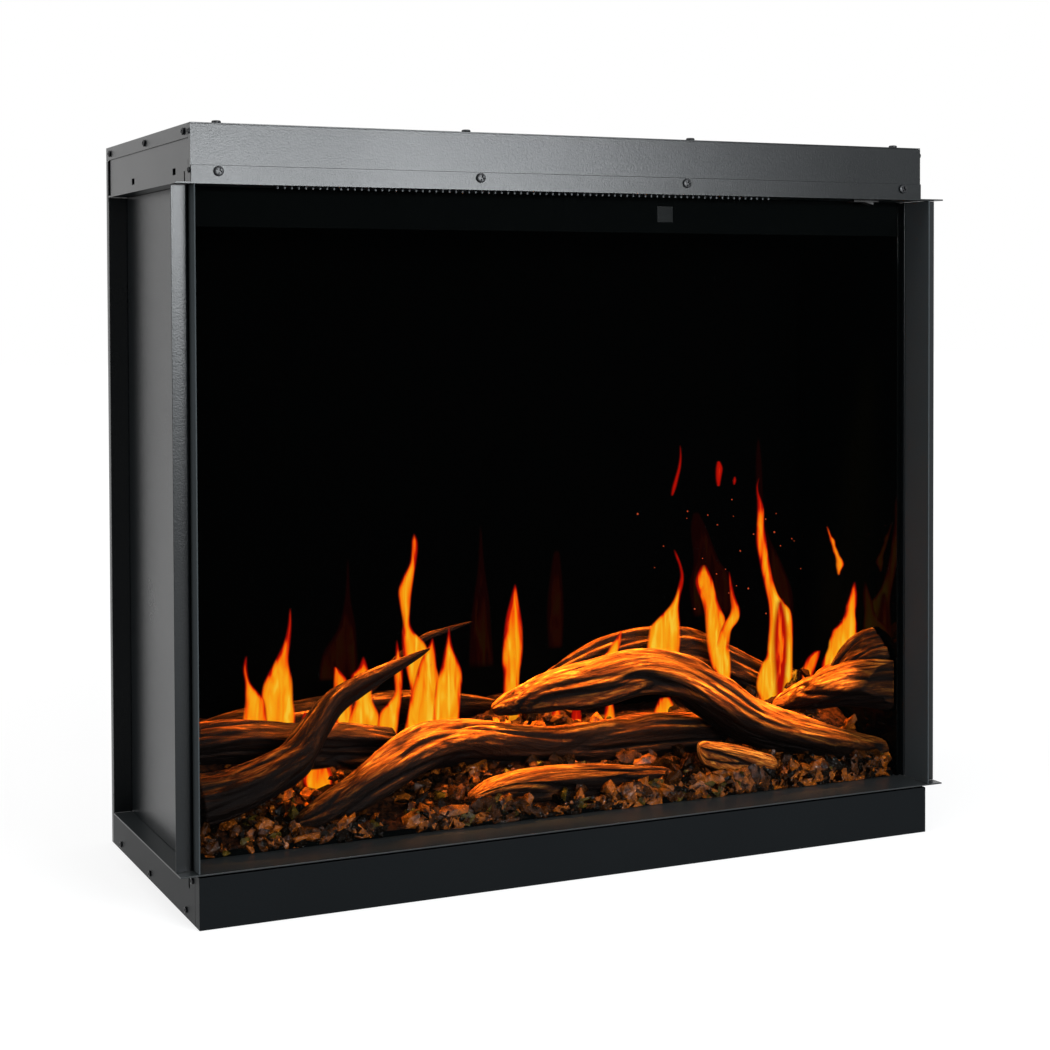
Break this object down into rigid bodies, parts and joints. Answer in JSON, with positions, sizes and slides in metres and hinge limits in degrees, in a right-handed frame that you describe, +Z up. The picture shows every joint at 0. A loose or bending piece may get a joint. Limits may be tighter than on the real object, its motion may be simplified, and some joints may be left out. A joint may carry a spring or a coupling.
{
  "type": "built-in electric fireplace",
  "caption": "Glazed built-in electric fireplace: folded steel casing with trim flanges, log and ember bed, turning flame spindle, heater blower, rocker switch.",
  "frame": {"origin": "middle of the underside, centred on the overall width and depth", "axes": "+X to the viewer's right along the width, +Y from the glass towards the back, +Z up"},
  "size_m": [0.912, 0.375, 0.8033],
  "materials": {
    "powder_coat": "charcoal powder coat, satin",
    "galvanised": "galvanised sheet",
    "black_steel": "matt black paint",
    "clear_glass": "tempered pane",
    "smoked_screen": "smoked acrylic",
    "driftwood_resin": "moulded resin painted as driftwood",
    "ember_mould": "translucent amber mould with crystals",
    "circuit_board": "green solder mask",
    "black_plastic": "moulded black",
    "mirror_foil": "polished blades",
    "screw_black": "black zinc pan head"
  },
  "bodies": {
    "casing": {"base_floor": "powder_coat", "base_side_left": "powder_coat", "base_side_right": "powder_coat", "base_fascia": "powder_coat", "hearth_plate": "powder_coat", "top_ledge": "powder_coat", "corner_post_left": "powder_coat", "corner_post_right": "powder_coat", "reveal_left": "powder_coat", "reveal_right": "powder_coat", "side_cover_left": "powder_coat", "side_cover_right": "powder_coat", "rear_side_left": "powder_coat", "rear_side_right": "powder_coat", "back_panel": "powder_coat", "housing_side_left": "powder_coat", "housing_side_right": "powder_coat", "top_fascia": "powder_coat", "outlet_strip": "powder_coat", "top_cover": "powder_coat", "lid_screw_1": "screw_black", "lid_screw_2": "screw_black", "lid_screw_3": "screw_black", "lid_screw_4": "screw_black", "front_glass": "clear_glass", "side_glass_left": "clear_glass", "side_glass_right": "clear_glass", "header_band": "black_steel", "ir_window": "black_plastic", "flame_screen": "smoked_screen", "ember_tray": "black_steel", "ember_led_board": "circuit_board", "ember_bed": "ember_mould", "back_log": "driftwood_resin", "fork_log": "driftwood_resin", "long_log": "driftwood_resin", "arch_log": "driftwood_resin", "right_log": "driftwood_resin", "split_log": "driftwood_resin", "wood_chip": "driftwood_resin", "rear_left_log": "driftwood_resin", "rear_log": "driftwood_resin", "rotor_bracket_left": "galvanised", "rotor_bracket_right": "galvanised", "rotor_motor": "galvanised", "flame_led_board": "circuit_board", "blower_scroll": "galvanised", "blower_motor": "galvanised", "heater_element": "galvanised", "thermal_cutout": "black_plastic", "switch_housing": "black_plastic", "control_box": "galvanised", "control_board": "circuit_board", "terminal_block": "black_plastic", "cable_gland": "black_plastic"},
    "flame_spindle": {"flame_rotor": "mirror_foil"},
    "blower_rotor": {"blower_wheel_left": "galvanised", "blower_wheel_right": "galvanised"},
    "switch_rocker": {"power_switch": "black_plastic"}
  },
  "joints": [
    {"name": "flame_spindle_spin", "type": "hinge", "parent": "casing", "child": "flame_spindle", "pos_m": [0, 0.1305, 0.117], "axis": [1, 0, 0], "continuous": true},
    {"name": "blower_spin", "type": "hinge", "parent": "casing", "child": "blower_rotor", "pos_m": [0, -0.1055, 0.769], "axis": [1, 0, 0], "continuous": true},
    {"name": "power_switch_rock", "type": "hinge", "parent": "casing", "child": "switch_rocker", "pos_m": [0.365, -0.1565, 0.7392], "axis": [0, 1, 0], "range_deg": [-14, 0]}
  ]
}
